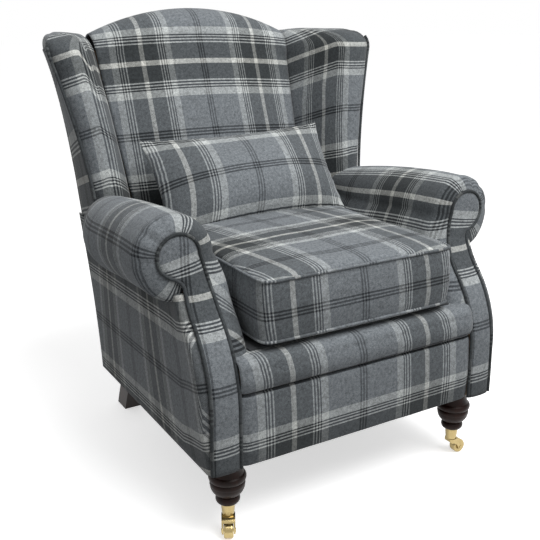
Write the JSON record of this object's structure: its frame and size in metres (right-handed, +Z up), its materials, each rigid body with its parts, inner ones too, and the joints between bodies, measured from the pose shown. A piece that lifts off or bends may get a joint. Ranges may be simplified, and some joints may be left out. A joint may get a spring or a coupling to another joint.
{
  "type": "fireside wing armchair",
  "caption": "High-backed wing armchair with scroll arms, camel-back crest, loose seat and lumbar cushions, turned front legs on brass castors and sabre rear legs.",
  "frame": {"origin": "middle of the bounding box, on the floor", "axes": "+Z up, the seat faces -Y, +X to the right as seen from in front of the chair"},
  "size_m": [0.9222, 0.8997, 1.0614],
  "materials": {
    "frame_wood": "sawn beech",
    "plaid_cloth": "grey and black plaid wool, woven",
    "plaid_cushion": "grey and black plaid wool, woven",
    "dark_wood": "near-black mahogany, satin polish",
    "brass": "polished brass",
    "webbing": "woven jute webbing",
    "platform_cloth": "plain dark cotton",
    "black_lining": "black bottom lining",
    "bolt_steel": "zinc plated"
  },
  "bodies": {
    "chair": {"arm_stump_left": "frame_wood", "arm_stump_right": "frame_wood", "back_post_left": "frame_wood", "back_post_right": "frame_wood", "side_rail_left": "frame_wood", "side_rail_right": "frame_wood", "seat_tack_rail_left": "frame_wood", "seat_tack_rail_right": "frame_wood", "arm_rail_left": "frame_wood", "arm_rail_right": "frame_wood", "wing_post_left": "frame_wood", "wing_post_right": "frame_wood", "wing_rail_left": "frame_wood", "wing_rail_right": "frame_wood", "front_rail": "frame_wood", "back_rail": "frame_wood", "back_stay_rail": "frame_wood", "crest_rail": "frame_wood", "corner_blocks": "frame_wood", "arm_facing_left": "plaid_cloth", "arm_facing_right": "plaid_cloth", "inside_wing_left": "plaid_cloth", "inside_wing_right": "plaid_cloth", "outside_wing_left": "plaid_cloth", "outside_wing_right": "plaid_cloth", "inside_arm_left": "plaid_cloth", "inside_arm_right": "plaid_cloth", "outside_arm_left": "plaid_cloth", "outside_arm_right": "plaid_cloth", "front_border": "plaid_cloth", "front_lip": "plaid_cloth", "inside_back": "plaid_cloth", "outside_back": "plaid_cloth", "front_leg_left": "dark_wood", "front_leg_right": "dark_wood", "rear_leg_left": "dark_wood", "rear_leg_right": "dark_wood", "castor_cup_left": "brass", "castor_cup_right": "brass", "seat_webbing": "webbing", "back_webbing": "webbing", "seat_platform": "platform_cloth", "dust_cover": "black_lining", "leg_bolts": "bolt_steel"},
    "castor_swivel_left": {"castor_fork_left": "brass", "castor_axle_left": "brass"},
    "castor_swivel_right": {"castor_fork_right": "brass", "castor_axle_right": "brass"},
    "castor_roll_left": {"castor_wheel_left": "brass"},
    "castor_roll_right": {"castor_wheel_right": "brass"},
    "loose_seat_cushion": {"seat_cushion": "plaid_cushion"},
    "loose_lumbar_cushion": {"lumbar_cushion": "plaid_cushion"}
  },
  "joints": [
    {"name": "left_castor_swivel", "type": "hinge", "parent": "chair", "child": "castor_swivel_left", "pos_m": [-0.311, -0.39055, 0.044], "axis": [0, 0, 1], "continuous": true},
    {"name": "right_castor_swivel", "type": "hinge", "parent": "chair", "child": "castor_swivel_right", "pos_m": [0.311, -0.39055, 0.044], "axis": [0, 0, 1], "continuous": true},
    {"name": "left_castor_roll", "type": "hinge", "parent": "castor_swivel_left", "child": "castor_roll_left", "pos_m": [-0.32099, -0.41015, 0.017], "axis": [0.891, -0.454, 0], "continuous": true},
    {"name": "right_castor_roll", "type": "hinge", "parent": "castor_swivel_right", "child": "castor_roll_right", "pos_m": [0.333, -0.39055, 0.017], "axis": [0, 1, 0], "continuous": true},
    {"name": "seat_cushion_lift", "type": "slide", "parent": "chair", "child": "loose_seat_cushion", "axis": [0, 0, 1], "range_m": [0, 0.35]},
    {"name": "lumbar_cushion_lift", "type": "slide", "parent": "loose_seat_cushion", "child": "loose_lumbar_cushion", "axis": [0, 0, 1], "range_m": [0, 0.3]}
  ]
}
